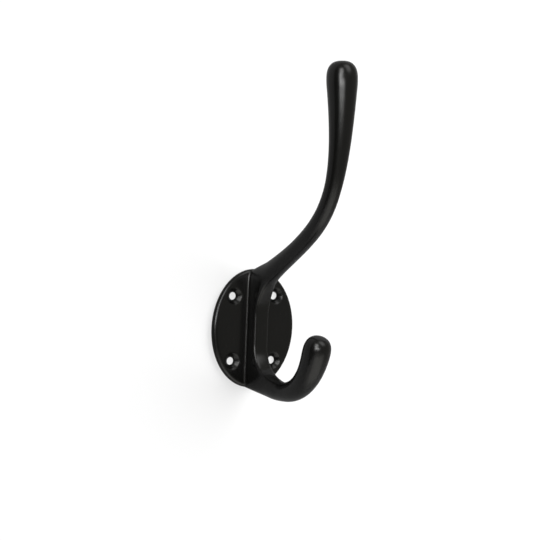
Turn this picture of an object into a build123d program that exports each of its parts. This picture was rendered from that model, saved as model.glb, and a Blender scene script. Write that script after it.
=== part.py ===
"""Cast hat and coat hook: an oval backplate, a web, a tall hat arm and a short coat hook.

Millimetres. The wall is the plane Y = 0, the hook stands out towards -Y, +Z is up,
and the origin is the middle of the backplate on the wall.
"""

import os
from math import asin, copysign, cos, radians, sin, tan
from typing import NamedTuple

from build123d import *

# Backplate
PLATE_WIDTH = 42.8
PLATE_HEIGHT = 54.0
PLATE_THICKNESS = 2.3
PLATE_EDGE_ROUND = 1.3

# Four countersunk screw holes
HOLE_SPACING_X = 22.0
HOLE_SPACING_Z = 29.5
HOLE_DIAMETER = 3.5
COUNTERSINK_DIAMETER = 7.5
COUNTERSINK_ANGLE = 90.0
CUTTER_CLEARANCE = 1.0

# Web down the middle of the plate, with a cove where it meets the plate
WEB_WIDTH = 7.6
WEB_STAND = 6.3
COVE_RADIUS = 1.0
COVE_BITE = 0.02
COVE_SINK = 0.5

# Hat arm: the bend out of the web, then one sweeping curve to a domed end
HAT_BEND_RADIUS = 20.0
HAT_BEND_START = 6.1
HAT_SLOPE = 32.6
HAT_ROOT_DEPTH = 9.8
HAT_ROOT_PULL = 42.1
HAT_END_PULL = 58.1
HAT_END_LEAN = 3.7
HAT_REACH = 64.1
HAT_RISE = 112.6
HAT_DIAMETER = 7.6
HAT_TIP_DIAMETER = 13.6
HAT_TIP_HEIGHT = 8.2
HAT_TIP_POWER = 2.65
HAT_TAPER_LENGTH = 46.5
HAT_TAPER_POWER = 1.4
HAT_BLEND_LENGTH = 26.6

# Coat hook: the bend out of the web, then one curve round to a domed end
COAT_BEND_RADIUS = 14.3
COAT_BEND_START = 6.7
COAT_SLOPE = 16.2
COAT_ROOT_DEPTH = 9.4
COAT_ROOT_PULL = 17.1
COAT_END_PULL = 14.7
COAT_END_TILT = 19.7
COAT_REACH = 53.0
COAT_DROP = 6.2
COAT_DIAMETER = 8.4
COAT_TIP_DIAMETER = 12.5
COAT_TIP_HEIGHT = 7.9
COAT_TIP_POWER = 2.65
COAT_TAPER_LENGTH = 32.3
COAT_TAPER_POWER = 1.0
COAT_BLEND_LENGTH = 15.0

# Where the web's back corners lie at the wall, against the plate's top and bottom edge
TOP_INSET = 0.4
BOTTOM_OVERHANG = 0.3

# Distances along the bar from where each bend starts, over which the web's corners turn round
HAT_FRONT_ROUND_START = 6.0
HAT_FRONT_ROUND_END = 30.0
HAT_BACK_ROUND_START = 4.0
HAT_BACK_ROUND_END = 26.0
COAT_FRONT_ROUND_START = 20.0
COAT_FRONT_ROUND_END = 38.0
COAT_BACK_ROUND_START = 6.0
COAT_BACK_ROUND_END = 28.0

# Sectioning of the bar: its centre line behind the web's front, and the spacing of sections
SPINE_DEPTH = 4.1
SECTION_SPACING = 2.6
BEND_SECTIONS = 8
TIP_SECTIONS = 8
POLE_ANGLE = 87.0
BEHIND_WALL = 16.0
BEHIND_WALL_POWER = 6

# Handles of a quarter section: for a quarter circle, and for the web's squared corner
ROUND_NEAR = 0.3314
ROUND_FAR = 0.6314
ROUND_LIFT = 0.8657
SQUARE_NEAR = 0.72


class Station(NamedTuple):
    """One section of the bar: where it is, which way the bar runs and how large it is."""

    place: Vector
    run: Vector
    half_width: float
    front: float
    back: float
    front_square: float
    back_square: float


class Tip(NamedTuple):
    """Domed end of an arm: its widest radius, height above that and fullness, and the arm's slope into it."""

    radius: float
    height: float
    power: float
    slope: float


class Arm(NamedTuple):
    """Sizes of one arm. Side is +1 for the arm that goes up and -1 for the one that goes down."""

    side: int
    bend_radius: float
    bend_start: float
    sweep: float
    root_back: float
    wall_corner: float
    curve: Edge
    slim: float
    taper: float
    taper_power: float
    tip: Tip
    blend_length: float
    front_rounding: tuple
    back_rounding: tuple


def blend(start, end, share):
    """Value part of the way from start to end."""
    return start + (end - start) * share


def ease(share):
    """Smooth step from 0 to 1."""
    t = min(max(share, 0.0), 1.0)
    return t * t * (3 - 2 * t)


def soft_least(first, second):
    """The smaller of two lengths, with the change from one to the other rounded off."""
    power = BEHIND_WALL_POWER
    return (first**-power + second**-power) ** (-1 / power)


def quarter(x, y, square):
    """Control points of a quarter section, from its end on the Y axis to its end on the X axis."""
    near = blend(ROUND_NEAR, SQUARE_NEAR, square)
    far = blend(ROUND_FAR, 1, square)
    lift = blend(ROUND_LIFT, 1, square)
    return [(0, y), (near * x, y), (far * x, lift * y), (lift * x, far * y), (x, near * y), (x, 0)]


def ring(station):
    """Closed outline of a section."""
    a = station.half_width
    frame = Plane(origin=station.place, x_dir=(1, 0, 0), z_dir=station.run)
    quarters = [
        Bezier(*quarter(a, -station.front, station.front_square)),
        Bezier(*quarter(a, station.back, station.back_square)[::-1]),
        Bezier(*quarter(-a, station.back, station.back_square)),
        Bezier(*quarter(-a, -station.front, station.front_square)[::-1]),
    ]
    return frame * Wire(quarters)


def spine_stand():
    """Distance of the web's centre line from the wall."""
    return PLATE_THICKNESS + WEB_STAND - SPINE_DEPTH


def squareness(rounding, along):
    """1 where a corner is still squared and 0 where it is round, by distance along the bar."""
    start, end = rounding
    return 1 - ease((along - start) / (end - start))


def web_station(height):
    """Section of the web at one height."""
    return Station(
        place=Vector(0, -spine_stand(), height),
        run=Vector(0, 0, 1),
        half_width=WEB_WIDTH / 2,
        front=SPINE_DEPTH,
        back=spine_stand() + BEHIND_WALL,
        front_square=1.0,
        back_square=1.0,
    )


def bend_stations(arm):
    """Sections through the bend, whose back runs straight from the plate's edge to the arm's root."""
    centre_y = -spine_stand() - arm.bend_radius
    whole = radians(arm.sweep)
    root = arm.bend_radius + arm.root_back
    rise = (arm.bend_start + root * sin(whole) - arm.wall_corner) / -(centre_y + root * cos(whole))
    stations = []
    for step in range(1, BEND_SECTIONS + 1):
        angle = whole * step / BEND_SECTIONS
        to_behind = (BEHIND_WALL - centre_y) / cos(angle)
        to_edge = (arm.wall_corner - arm.bend_start - rise * centre_y) / (sin(angle) + rise * cos(angle))
        along = arm.bend_radius * angle
        place_y = centre_y + arm.bend_radius * cos(angle)
        place_z = arm.bend_start + arm.bend_radius * sin(angle)
        stations.append(
            Station(
                place=Vector(0, place_y, arm.side * place_z),
                run=Vector(0, -arm.side * sin(angle), cos(angle)),
                half_width=WEB_WIDTH / 2,
                front=SPINE_DEPTH,
                back=soft_least(to_behind, to_edge) - arm.bend_radius,
                front_square=squareness(arm.front_rounding, along),
                back_square=squareness(arm.back_rounding, along),
            )
        )
    return stations


def tip_start(tip):
    """Angle at a tip's foot, below its widest place, where its side runs on from an arm that widens."""
    drop = (max(tip.slope, 0) * tip.height / tip.radius) ** (1 / (tip.power - 1))
    return -asin(drop ** (tip.power / 2))


def tip_radius(tip, angle):
    """Radius of a tip at an angle above its widest place."""
    return tip.radius * cos(angle) ** (2 / tip.power)


def tip_rise(tip, angle):
    """Distance of a tip's section from its widest place."""
    return tip.height * copysign(abs(sin(angle)) ** (2 / tip.power), angle)


def arm_radius(arm, along):
    """Radius of the arm at a distance along its curve: slim, then swelling to the tip."""
    into_taper = max(along - arm.curve.length + arm.taper, 0)
    swollen = tip_radius(arm.tip, tip_start(arm.tip))
    return arm.slim + (swollen - arm.slim) * (into_taper / arm.taper) ** arm.taper_power


def arm_stations(arm):
    """Sections along the arm's curve, from the web's section to a round one."""
    length = arm.curve.length
    bend_length = arm.bend_radius * radians(arm.sweep)
    steps = round(length / SECTION_SPACING)
    stations = []
    for step in range(1, steps + 1):
        along = length * step / steps
        radius = arm_radius(arm, along)
        left = max(1 - along / arm.blend_length, 0) ** 2
        stations.append(
            Station(
                place=arm.curve @ (step / steps),
                run=(arm.curve % (step / steps)) * arm.side,
                half_width=radius + (WEB_WIDTH / 2 - arm.slim) * left,
                front=radius + (SPINE_DEPTH - arm.slim) * left,
                back=radius + (arm.root_back - arm.slim) * left,
                front_square=squareness(arm.front_rounding, bend_length + along),
                back_square=squareness(arm.back_rounding, bend_length + along),
            )
        )
    return stations


def tip_stations(arm):
    """Sections over the domed tip, up to a flat as small as a pinhead at its pole."""
    way = arm.curve % 1
    foot = tip_start(arm.tip)
    stations = []
    for step in range(1, TIP_SECTIONS + 1):
        angle = blend(foot, radians(POLE_ANGLE), step / TIP_SECTIONS)
        radius = tip_radius(arm.tip, angle)
        stations.append(
            Station(
                place=arm.curve @ 1 + way * (tip_rise(arm.tip, angle) - tip_rise(arm.tip, foot)),
                run=way * arm.side,
                half_width=radius,
                front=radius,
                back=radius,
                front_square=0.0,
                back_square=0.0,
            )
        )
    return stations


def bend_end(side, radius, start, slope):
    """Place where the bend out of the web ends and the arm's curve begins."""
    turn = radians(90 - slope)
    return Vector(0, -spine_stand() - radius * (1 - cos(turn)), side * (start + radius * sin(turn)))


def hat_arm():
    """The tall upper arm."""
    radius = HAT_BEND_RADIUS + SPINE_DEPTH
    slim = HAT_DIAMETER / 2
    slope = HAT_TAPER_POWER * (HAT_TIP_DIAMETER - HAT_DIAMETER) / 2 / HAT_TAPER_LENGTH
    tip = Tip(HAT_TIP_DIAMETER / 2, HAT_TIP_HEIGHT, HAT_TIP_POWER, slope)
    start = bend_end(1, radius, HAT_BEND_START, HAT_SLOPE)
    out = Vector(0, -cos(radians(HAT_SLOPE)), sin(radians(HAT_SLOPE)))
    up = Vector(0, sin(radians(HAT_END_LEAN)), cos(radians(HAT_END_LEAN)))
    end = Vector(0, -HAT_REACH, HAT_RISE) + up * tip_rise(tip, tip_start(tip))
    return Arm(
        side=1,
        bend_radius=radius,
        bend_start=HAT_BEND_START,
        sweep=90 - HAT_SLOPE,
        root_back=HAT_ROOT_DEPTH - SPINE_DEPTH,
        wall_corner=PLATE_HEIGHT / 2 - TOP_INSET,
        curve=Bezier(start, start + out * HAT_ROOT_PULL, end - up * HAT_END_PULL, end),
        slim=slim,
        taper=HAT_TAPER_LENGTH,
        taper_power=HAT_TAPER_POWER,
        tip=tip,
        blend_length=HAT_BLEND_LENGTH,
        front_rounding=(HAT_FRONT_ROUND_START, HAT_FRONT_ROUND_END),
        back_rounding=(HAT_BACK_ROUND_START, HAT_BACK_ROUND_END),
    )


def coat_hook():
    """The short lower hook."""
    radius = COAT_BEND_RADIUS + SPINE_DEPTH
    slim = COAT_DIAMETER / 2
    slope = COAT_TAPER_POWER * (COAT_TIP_DIAMETER - COAT_DIAMETER) / 2 / COAT_TAPER_LENGTH
    tip = Tip(COAT_TIP_DIAMETER / 2, COAT_TIP_HEIGHT, COAT_TIP_POWER, slope)
    start = bend_end(-1, radius, COAT_BEND_START, COAT_SLOPE)
    out = Vector(0, -cos(radians(COAT_SLOPE)), -sin(radians(COAT_SLOPE)))
    up = Vector(0, -sin(radians(COAT_END_TILT)), cos(radians(COAT_END_TILT)))
    end = Vector(0, -COAT_REACH, -COAT_DROP) + up * tip_rise(tip, tip_start(tip))
    return Arm(
        side=-1,
        bend_radius=radius,
        bend_start=COAT_BEND_START,
        sweep=90 - COAT_SLOPE,
        root_back=COAT_ROOT_DEPTH - SPINE_DEPTH,
        wall_corner=PLATE_HEIGHT / 2 + BOTTOM_OVERHANG,
        curve=Bezier(start, start + out * COAT_ROOT_PULL, end - up * COAT_END_PULL, end),
        slim=slim,
        taper=COAT_TAPER_LENGTH,
        taper_power=COAT_TAPER_POWER,
        tip=tip,
        blend_length=COAT_BLEND_LENGTH,
        front_rounding=(COAT_FRONT_ROUND_START, COAT_FRONT_ROUND_END),
        back_rounding=(COAT_BACK_ROUND_START, COAT_BACK_ROUND_END),
    )


def bar():
    """Hat arm, web and coat hook as one bar, its section changing smoothly all the way."""
    hat = hat_arm()
    coat = coat_hook()
    upper = bend_stations(hat) + arm_stations(hat) + tip_stations(hat)
    lower = bend_stations(coat) + arm_stations(coat) + tip_stations(coat)
    straight = hat.bend_start + coat.bend_start
    steps = round(straight / SECTION_SPACING)
    middle = [web_station(straight * step / steps - coat.bend_start) for step in range(steps + 1)]
    rings = [ring(station) for station in lower[::-1] + middle + upper]
    whole = Solid.make_loft(rings)
    room = 2 * (HAT_RISE + HAT_TIP_HEIGHT + HAT_REACH)
    return Pos(0, -room / 2, 0) * Box(room, room, room) & whole


def plate():
    """Oval backplate with its front edge rounded."""
    blank = extrude(Plane.XZ * Ellipse(PLATE_WIDTH / 2, PLATE_HEIGHT / 2), amount=PLATE_THICKNESS)
    rim = blank.faces().sort_by(Axis.Y)[0].edges()
    return fillet(rim, PLATE_EDGE_ROUND)


def screw_holes():
    """Cutters for the four countersunk holes."""
    sink = (COUNTERSINK_DIAMETER - HOLE_DIAMETER) / 2 / tan(radians(COUNTERSINK_ANGLE / 2))
    outline = Polyline(
        (0, -CUTTER_CLEARANCE),
        (HOLE_DIAMETER / 2, -CUTTER_CLEARANCE),
        (HOLE_DIAMETER / 2, PLATE_THICKNESS - sink),
        (COUNTERSINK_DIAMETER / 2, PLATE_THICKNESS),
        (COUNTERSINK_DIAMETER / 2, PLATE_THICKNESS + CUTTER_CLEARANCE),
        (0, PLATE_THICKNESS + CUTTER_CLEARANCE),
        close=True,
    )
    cutter = revolve(make_face(Plane.XZ * outline), Axis.Z)
    spots = GridLocations(HOLE_SPACING_X, HOLE_SPACING_Z, 2, 2)
    return [Plane.XZ * spot * cutter for spot in spots]


def cove_section(path):
    """Section of a cove at the start of its path: a hollow quarter round, sunk a little into both walls."""
    outward = (path % 0).cross(Vector(0, 1, 0))
    outward = outward if outward.X > 0 else -outward
    frame = Plane(origin=path @ 0, x_dir=outward, z_dir=outward.cross(Vector(0, -1, 0)))
    low = -COVE_SINK
    high = COVE_RADIUS - COVE_BITE
    outline = Polyline((high, low), (low, low), (low, high), (high, high), close=True)
    hollow = Pos(high, high) * Circle(COVE_RADIUS)
    return frame * (make_face(outline) - hollow)


def coves(web):
    """Coves down both sides of the web, which run out where the plate's rounded rim begins."""
    front = Plane.XZ.offset(PLATE_THICKNESS)
    flat_width = PLATE_WIDTH - 2 * PLATE_EDGE_ROUND
    flat_height = PLATE_HEIGHT - 2 * PLATE_EDGE_ROUND
    right_half = front * Pos(flat_width / 2, 0) * Rectangle(flat_width, flat_height)
    foot = section(web, section_by=front).face() & right_half
    side = foot.edges().sort_by(Axis.X)[-1]
    strip = sweep(cove_section(side), path=side)
    room = extrude(front.offset(-COVE_SINK) * Ellipse(flat_width / 2, flat_height / 2), amount=2 * COVE_RADIUS)
    strip = strip & room
    return strip + mirror(strip, about=Plane.YZ)


def hook():
    """The whole casting."""
    web = bar()
    return plate() + web + coves(web) - screw_holes()


os.makedirs("parts", exist_ok=True)
hat_hook = hook()
export_step(hat_hook, "parts/hat_hook.step")
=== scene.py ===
"""Cast hat and coat hook in satin black paint, on a white wall, from the photograph's angle."""

import logging
import math
from dataclasses import dataclass, field
from enum import Enum
from typing import Any

import bpy
from mathutils import Matrix, Vector

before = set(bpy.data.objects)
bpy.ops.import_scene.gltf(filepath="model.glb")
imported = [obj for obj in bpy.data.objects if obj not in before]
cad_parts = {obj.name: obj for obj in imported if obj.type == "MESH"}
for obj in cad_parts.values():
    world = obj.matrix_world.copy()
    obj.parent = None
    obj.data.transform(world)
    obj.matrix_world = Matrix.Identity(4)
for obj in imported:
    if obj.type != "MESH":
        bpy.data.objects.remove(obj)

LOG = logging.getLogger("hat_hook")
MM = 0.001

# The Mix node's colour sockets, which share their names with its other kinds.
MIX_FIRST, MIX_SECOND, MIX_RESULT = 6, 7, 2
WHITE = "#ffffff"


class Role(Enum):
    """What a lamp does for the picture."""

    KEY = "key"
    STRIP = "strip"
    CORE = "core"
    BOUNCE = "bounce"
    TOP = "top"
    SHADOW = "shadow"


def linear(hex_colour: str) -> tuple[float, float, float, float]:
    """Turns an sRGB hex colour into the linear colour that a shader takes.

    Args:
        hex_colour: Six hex digits, with or without a leading hash.

    Returns:
        Red, green, blue and alpha, linear.
    """
    digits = hex_colour.lstrip("#")
    shares = [int(digits[i : i + 2], 16) / 255 for i in (0, 2, 4)]
    red, green, blue = [
        s / 12.92 if s <= 0.04045 else ((s + 0.055) / 1.055) ** 2.4 for s in shares
    ]
    return red, green, blue, 1.0


def add_node(
    tree: bpy.types.NodeTree,
    kind: str,
    settings: dict[str | int, Any],
    links: dict[str | int, Any],
) -> bpy.types.Node:
    """Adds one shader node, sets it up and joins it to the nodes that feed it.

    Args:
        tree: The node tree.
        kind: The node's type name.
        settings: Values by the name of a property, or else by an input's name or number.
        links: Output sockets by the name or number of the input that they feed.

    Returns:
        The new node.
    """
    node = tree.nodes.new(kind)
    for name, value in settings.items():
        if isinstance(name, str) and hasattr(node, name):
            setattr(node, name, value)
        else:
            node.inputs[name].default_value = value
    for name, socket in links.items():
        tree.links.new(socket, node.inputs[name])
    return node


def fresh_material(name: str) -> tuple[bpy.types.Material, bpy.types.NodeTree]:
    """Makes an empty node material.

    Args:
        name: The material's name.

    Returns:
        The material and its node tree.
    """
    material = bpy.data.materials.new(name)
    material.use_nodes = True
    material.node_tree.nodes.clear()
    return material, material.node_tree


@dataclass(frozen=True)
class SatinPowderCoat:
    """Black polyester powder baked on to cast metal: a satin film with a fine orange peel."""

    name: str = "satin_black_powder_coat"
    dark: str = "#040404"
    light: str = "#0a0a09"
    ior: float = 1.5
    roughness: float = 0.22
    roughness_spread: float = 0.03
    cloud_mm: float = 18.0
    cloud_detail: float = 3.0
    cloud_grain: float = 0.55
    cloud_span: tuple[float, float] = (0.3, 0.7)
    peel_mm: float = 1.4
    peel_depth_mm: float = 0.0008
    peel_detail: float = 1.5
    peel_grain: float = 0.4
    flow_mm: float = 1.5
    flow_samples: int = 8

    def build(self) -> bpy.types.Material:
        """Makes the material.

        Returns:
            The finished material.
        """
        # Polyester powder, baked on: it flows before it sets, so the eye sees a deep black with
        # soft satin streaks of the lamps, softened edges and slow clouds of gloss.
        material, tree = fresh_material(self.name)
        place = add_node(tree, "ShaderNodeTexCoord", {}, {}).outputs["Object"]
        cloud = add_node(
            tree,
            "ShaderNodeTexNoise",
            {
                "Scale": 1 / (self.cloud_mm * MM),
                "Detail": self.cloud_detail,
                "Roughness": self.cloud_grain,
            },
            {"Vector": place},
        )
        tone = add_node(
            tree,
            "ShaderNodeMix",
            {
                "data_type": "RGBA",
                MIX_FIRST: linear(self.dark),
                MIX_SECOND: linear(self.light),
            },
            {"Factor": cloud.outputs["Fac"]},
        )
        gloss = add_node(
            tree,
            "ShaderNodeMapRange",
            {
                "From Min": self.cloud_span[0],
                "From Max": self.cloud_span[1],
                "To Min": self.roughness - self.roughness_spread,
                "To Max": self.roughness + self.roughness_spread,
            },
            {"Value": cloud.outputs["Fac"]},
        )
        # Orange peel at its real width, a millimetre or two, and as shallow as a smooth coat's.
        peel = add_node(
            tree,
            "ShaderNodeTexNoise",
            {
                "Scale": 1 / (self.peel_mm * MM),
                "Detail": self.peel_detail,
                "Roughness": self.peel_grain,
            },
            {"Vector": place},
        )
        # The film draws off edges and fills creases, so light turns softly round both.
        flow = add_node(
            tree,
            "ShaderNodeBevel",
            {"samples": self.flow_samples, "Radius": self.flow_mm * MM},
            {},
        )
        bump = add_node(
            tree,
            "ShaderNodeBump",
            {"Strength": 1.0, "Distance": self.peel_depth_mm * MM},
            {"Height": peel.outputs["Fac"], "Normal": flow.outputs["Normal"]},
        )
        shader = add_node(
            tree,
            "ShaderNodeBsdfPrincipled",
            {"IOR": self.ior, "Metallic": 0.0},
            {
                "Base Color": tone.outputs[MIX_RESULT],
                "Roughness": gloss.outputs["Result"],
                "Normal": bump.outputs["Normal"],
            },
        )
        add_node(tree, "ShaderNodeOutputMaterial", {}, {"Surface": shader.outputs["BSDF"]})
        return material


@dataclass
class HookCasting:
    """The hook itself, one casting."""

    node: str = "hat_hook"
    finish: SatinPowderCoat = field(default_factory=SatinPowderCoat)

    def dress(self) -> bpy.types.Object:
        """Paints the casting.

        Returns:
            The painted object.
        """
        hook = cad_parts[self.node]
        hook.data.materials.clear()
        hook.data.materials.append(self.finish.build())
        LOG.info("painted %s, %d faces", hook.name, len(hook.data.polygons))
        return hook


@dataclass(frozen=True)
class WhiteBackdrop:
    """Matt white board: it shows white, and its lit share carries the hook's soft shadow."""

    name: str
    paint: str
    # Painted reflection: rays that the hook mirrors see the board in a darker paint, glowing
    # brighter towards the top.
    painted_reflection_colour: str
    seen_glow: float
    painted_reflection_glow_low: float
    painted_reflection_glow_high: float
    painted_reflection_span_mm: tuple[float, float] = (60.0, 120.0)
    one_sided: bool = False
    touch_mm: float = 1.5

    def build(self) -> bpy.types.Material:
        """Makes the material.

        Returns:
            The finished material.
        """
        # Matt emulsion: the eye sees plain white with no gloss, and only the shadow on it.
        material, tree = fresh_material(self.name)
        path = add_node(tree, "ShaderNodeLightPath", {}, {}).outputs
        mirrored = add_node(
            tree,
            "ShaderNodeMath",
            {"operation": "ADD"},
            {0: path["Is Glossy Ray"], 1: path["Is Transmission Ray"]},
        ).outputs[0]
        place = add_node(tree, "ShaderNodeTexCoord", {}, {}).outputs["Object"]
        axes = add_node(tree, "ShaderNodeSeparateXYZ", {}, {0: place}).outputs
        # The board's own Y runs up the wall: in what the hook mirrors, the board glows brighter
        # near the top, a painted reflection.
        share = add_node(
            tree,
            "ShaderNodeMapRange",
            {
                "From Min": self.painted_reflection_span_mm[0] * MM,
                "From Max": self.painted_reflection_span_mm[1] * MM,
                "To Min": self.painted_reflection_glow_low / self.seen_glow,
                "To Max": self.painted_reflection_glow_high / self.seen_glow,
            },
            {"Value": axes["Y"]},
        )
        shown = add_node(
            tree,
            "ShaderNodeMath",
            {"operation": "MULTIPLY_ADD"},
            {0: mirrored, 1: share.outputs["Result"], 2: path["Is Camera Ray"]},
        )
        strength = add_node(
            tree,
            "ShaderNodeMath",
            {"operation": "MULTIPLY", 1: self.seen_glow},
            {0: shown.outputs[0]},
        )
        # The hook mirrors a dimmer board than the camera sees, as in the photograph.
        # Painted shade in the reflection: mirrored rays take the darker paint.
        tone = add_node(
            tree,
            "ShaderNodeMix",
            {
                "data_type": "RGBA",
                MIX_FIRST: linear(self.paint),
                MIX_SECOND: linear(self.painted_reflection_colour),
            },
            {"Factor": mirrored},
        )
        lit = add_node(tree, "ShaderNodeBsdfDiffuse", {}, {"Color": tone.outputs[MIX_RESULT]})
        glow = add_node(tree, "ShaderNodeEmission", {}, {"Strength": strength.outputs[0]})
        white = add_node(tree, "ShaderNodeAddShader", {}, {0: lit.outputs[0], 1: glow.outputs[0]})
        last = white.outputs[0]
        if self.one_sided:
            last = self.open_back(tree, path["Ray Length"], last)
        add_node(tree, "ShaderNodeOutputMaterial", {}, {"Surface": last})
        return material

    def open_back(
        self,
        tree: bpy.types.NodeTree,
        reach: bpy.types.NodeSocket,
        front: bpy.types.NodeSocket,
    ) -> bpy.types.NodeSocket:
        """Makes the board clear from behind, and clear to what all but touches it.

        Args:
            tree: The material's node tree.
            reach: The socket that gives a ray's length.
            front: The shader of the board's front.

        Returns:
            The shader of the whole board.
        """
        clear = add_node(tree, "ShaderNodeBsdfTransparent", {}, {})
        behind = add_node(tree, "ShaderNodeNewGeometry", {}, {}).outputs["Backfacing"]
        # The plate's back is so near that the board would black it out, so that light goes by.
        near = add_node(
            tree,
            "ShaderNodeMath",
            {"operation": "LESS_THAN", 1: self.touch_mm * MM},
            {0: reach},
        )
        gone = add_node(
            tree,
            "ShaderNodeMath",
            {"operation": "MAXIMUM"},
            {0: behind, 1: near.outputs[0]},
        )
        shaders = {0: gone.outputs[0], 1: front, 2: clear.outputs[0]}
        return add_node(tree, "ShaderNodeMixShader", {}, shaders).outputs[0]


@dataclass
class Backdrop:
    """The white wall behind the plate and the pale floor below, no part of the hook."""

    wall_width: float = 1.2
    behind: float = 0.6 * MM
    floor_below: float = 0.5
    floor_width: float = 1.4
    wall_finish: WhiteBackdrop = WhiteBackdrop(
        name="white_wall_paint",
        paint="#464646",
        # Painted reflection: the wall that the hook mirrors is a darker paint that glows brighter
        # towards the top.
        painted_reflection_colour="#333333",
        seen_glow=0.70,
        painted_reflection_glow_low=0.11,
        painted_reflection_glow_high=0.20,
        one_sided=True,
    )
    floor_finish: WhiteBackdrop = WhiteBackdrop(
        name="white_floor_paint",
        paint="#d0d0d0",
        painted_reflection_colour="#d0d0d0",
        seen_glow=0.65,
        painted_reflection_glow_low=0.0,
        painted_reflection_glow_high=0.0,
    )

    def build(self) -> bpy.types.Object:
        """Stands the wall and lays the floor.

        Returns:
            The wall.
        """
        bpy.ops.object.select_all(action="DESELECT")
        bpy.ops.mesh.primitive_plane_add(
            size=self.wall_width,
            location=(0, self.behind, 0),
            rotation=(math.pi / 2, 0, 0),
        )
        wall = bpy.context.object
        wall.name = "wall"
        wall.data.materials.append(self.wall_finish.build())
        bpy.ops.mesh.primitive_plane_add(
            size=self.floor_width,
            location=(0, 0, -self.floor_below),
        )
        floor = bpy.context.object
        floor.name = "floor"
        floor.data.materials.append(self.floor_finish.build())
        LOG.info("stood the wall and laid the floor")
        return wall


@dataclass(frozen=True)
class Softbox:
    """One lamp: a rectangle of light that faces the hook and fades out towards its edges."""

    role: Role
    azimuth: float
    elevation: float
    distance: float
    width: float
    height: float
    radiance: float
    softness: tuple[float, float] = (0.5, 0.5)
    tint: str = WHITE

    def fade(self, data: bpy.types.Light) -> None:
        """Lets the light fade towards the rim, as cloth over a lamp does.

        Args:
            data: The lamp's light.
        """
        data.use_nodes = True
        tree = data.node_tree
        tree.nodes.clear()
        half = 0.5
        across = add_node(tree, "ShaderNodeNewGeometry", {}, {}).outputs["Parametric"]
        middle = add_node(
            tree,
            "ShaderNodeVectorMath",
            {"operation": "SUBTRACT", 1: (half, half, 0.0)},
            {0: across},
        )
        out = add_node(
            tree,
            "ShaderNodeVectorMath",
            {"operation": "ABSOLUTE"},
            {0: middle.outputs[0]},
        )
        axes = add_node(tree, "ShaderNodeSeparateXYZ", {}, {0: out.outputs[0]}).outputs
        shares = []
        for axis, soft in zip(axes, self.softness):
            ramp = add_node(
                tree,
                "ShaderNodeMapRange",
                {
                    "interpolation_type": "SMOOTHSTEP",
                    "From Min": half * (1 - soft) / (1 + soft),
                    "From Max": half,
                    "To Min": 1.0,
                    "To Max": 0.0,
                },
                {"Value": axis},
            )
            shares.append(ramp.outputs["Result"])
        share = add_node(
            tree,
            "ShaderNodeMath",
            {"operation": "MULTIPLY"},
            {0: shares[0], 1: shares[1]},
        )
        glow = add_node(tree, "ShaderNodeEmission", {}, {"Strength": share.outputs[0]})
        add_node(tree, "ShaderNodeOutputLight", {}, {"Surface": glow.outputs[0]})

    def build(self, aim: Vector) -> bpy.types.Object:
        """Hangs the lamp.

        Args:
            aim: The point that it faces.

        Returns:
            The lamp.
        """
        turn, rise = math.radians(self.azimuth), math.radians(self.elevation)
        level = math.cos(rise)
        out = Vector((math.sin(turn) * level, -math.cos(turn) * level, math.sin(rise)))
        data = bpy.data.lights.new(f"softbox_{self.role.value}", "AREA")
        data.shape = "RECTANGLE"
        data.size = (1 + self.softness[0]) * self.width
        data.size_y = (1 + self.softness[1]) * self.height
        data.color = linear(self.tint)[:3]
        data.energy = self.radiance * math.pi * data.size * data.size_y
        self.fade(data)
        lamp = bpy.data.objects.new(data.name, data)
        lamp.location = aim + out * self.distance
        lamp.rotation_mode = "QUATERNION"
        lamp.rotation_quaternion = (-out).to_track_quat("-Z", "Y")
        lamp.visible_camera = False
        bpy.context.scene.collection.objects.link(lamp)
        LOG.info("hung the %s lamp", self.role.value)
        return lamp


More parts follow.
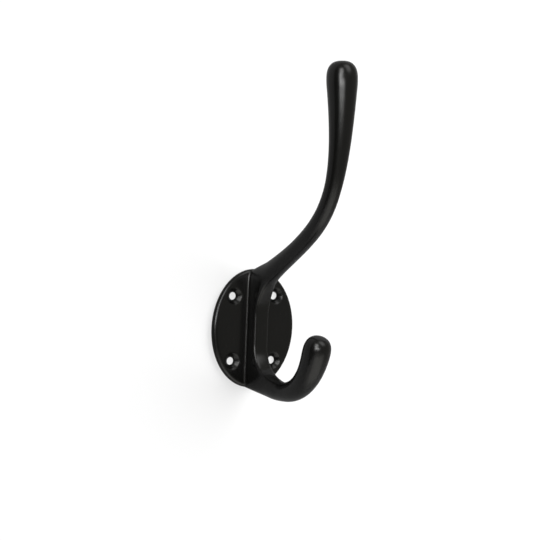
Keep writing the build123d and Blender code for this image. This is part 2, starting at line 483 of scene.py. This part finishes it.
@dataclass
class Studio:
    """The lamps and the world round the hook."""

    wall: bpy.types.Object
    aim: Vector = field(default_factory=lambda: Vector((0, -0.035, 0.045)))
    room_tint: str = "#fffdf5"
    ambient_left: float = 0.07
    ambient_right: float = 0.27
    ambient_span: tuple[float, float] = (-0.92, -0.5)
    lamps: tuple[Softbox, ...] = (
        Softbox(
            Role.KEY,
            azimuth=-40.5,
            elevation=27.0,
            distance=2.0,
            width=0.80,
            height=1.30,
            radiance=4.9,
        ),
        Softbox(
            Role.STRIP,
            azimuth=-48.0,
            elevation=9.0,
            distance=2.0,
            width=0.30,
            height=0.72,
            radiance=5.4,
            softness=(0.4, 0.3),
        ),
        Softbox(
            Role.CORE,
            azimuth=-33.0,
            elevation=2.8,
            distance=2.0,
            width=1.10,
            height=0.28,
            radiance=8.4,
            softness=(0.6, 0.25),
        ),
        Softbox(
            Role.TOP,
            azimuth=24.0,
            elevation=50.0,
            distance=2.0,
            width=1.03,
            height=1.60,
            radiance=1.6,
        ),
        Softbox(
            Role.BOUNCE,
            azimuth=-5.0,
            elevation=-57.0,
            distance=0.5,
            width=0.50,
            height=0.41,
            radiance=0.6,
            tint="#fffdf4",
        ),
    )
    shadow_lamp: Softbox = Softbox(
        Role.SHADOW,
        azimuth=64.0,
        elevation=30.0,
        distance=1.5,
        width=2.2,
        height=2.4,
        radiance=30.0,
    )

    def world(self) -> None:
        """Pale light from all round, dimmer from the left, and white to the camera."""
        scene_world = bpy.data.worlds.new("studio")
        bpy.context.scene.world = scene_world
        scene_world.use_nodes = True
        tree = scene_world.node_tree
        tree.nodes.clear()
        way = add_node(tree, "ShaderNodeTexCoord", {}, {}).outputs["Generated"]
        axes = add_node(tree, "ShaderNodeSeparateXYZ", {}, {0: way}).outputs
        room = add_node(
            tree,
            "ShaderNodeMapRange",
            {
                "interpolation_type": "SMOOTHSTEP",
                "From Min": self.ambient_span[0],
                "From Max": self.ambient_span[1],
                "To Min": self.ambient_left,
                "To Max": self.ambient_right,
            },
            {"Value": axes["X"]},
        )
        lit = add_node(
            tree,
            "ShaderNodeBackground",
            {"Color": linear(self.room_tint)},
            {"Strength": room.outputs["Result"]},
        )
        white = add_node(
            tree,
            "ShaderNodeBackground",
            {"Color": linear(WHITE), "Strength": 1.0},
            {},
        )
        seen = add_node(tree, "ShaderNodeLightPath", {}, {}).outputs["Is Camera Ray"]
        shaders = {0: seen, 1: lit.outputs[0], 2: white.outputs[0]}
        sky = add_node(tree, "ShaderNodeMixShader", {}, shaders)
        add_node(tree, "ShaderNodeOutputWorld", {}, {"Surface": sky.outputs[0]})

    def build(self) -> None:
        """Lights the scene."""
        self.world()
        for lamp in self.lamps:
            lamp.build(self.aim)
        # This lamp lights the wall alone, so that the wall carries a shadow and the hook gets
        # no more light.
        shadow = self.shadow_lamp.build(self.aim)
        shadow.visible_glossy = False
        lit = bpy.data.collections.new("shadow_catcher")
        lit.objects.link(self.wall)
        shadow.light_linking.receiver_collection = lit
        bpy.context.scene.view_settings.view_transform = "Standard"


@dataclass
class PhotoCamera:
    """The camera at the photograph's place: left of the hook, a little above, slightly rolled."""

    turn: float = 33.0
    drop: float = 3.45
    roll: float = 2.3
    distance: float = 1000.0
    pixels_per_mm: float = 2.198
    centre_x: float = 251.45
    centre_y: float = 328.05
    frame_pixels: float = 540.0
    sensor: float = 36.0

    def build(self) -> bpy.types.Object:
        """Sets the camera up.

        Returns:
            The camera.
        """
        turn, drop, roll = (math.radians(v) for v in (self.turn, self.drop, self.roll))
        level = math.cos(drop)
        ahead = Vector((math.sin(turn) * level, math.cos(turn) * level, -math.sin(drop)))
        flat = Vector((math.cos(turn), -math.sin(turn), 0))
        rise = flat.cross(ahead)
        right = flat * math.cos(roll) + rise * math.sin(roll)
        up = rise * math.cos(roll) - flat * math.sin(roll)
        half = self.frame_pixels / 2
        aside = (self.centre_x - half) / self.pixels_per_mm
        above = (half - self.centre_y) / self.pixels_per_mm
        eye = (-aside * right - above * up - self.distance * ahead) * MM
        data = bpy.data.cameras.new("photo_camera")
        data.sensor_width = self.sensor
        data.lens = self.sensor * self.distance * self.pixels_per_mm / self.frame_pixels
        camera = bpy.data.objects.new("photo_camera", data)
        facing = Matrix((right, up, -ahead)).transposed().to_4x4()
        camera.matrix_world = Matrix.Translation(eye) @ facing
        bpy.context.scene.collection.objects.link(camera)
        bpy.context.scene.camera = camera
        LOG.info("set the camera up")
        return camera


def main() -> None:
    """Builds the scene in order."""
    logging.basicConfig(level=logging.INFO, format="%(name)s: %(message)s")
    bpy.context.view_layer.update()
    HookCasting().dress()
    wall = Backdrop().build()
    Studio(wall).build()
    PhotoCamera().build()


if __name__ == "__main__":
    main()
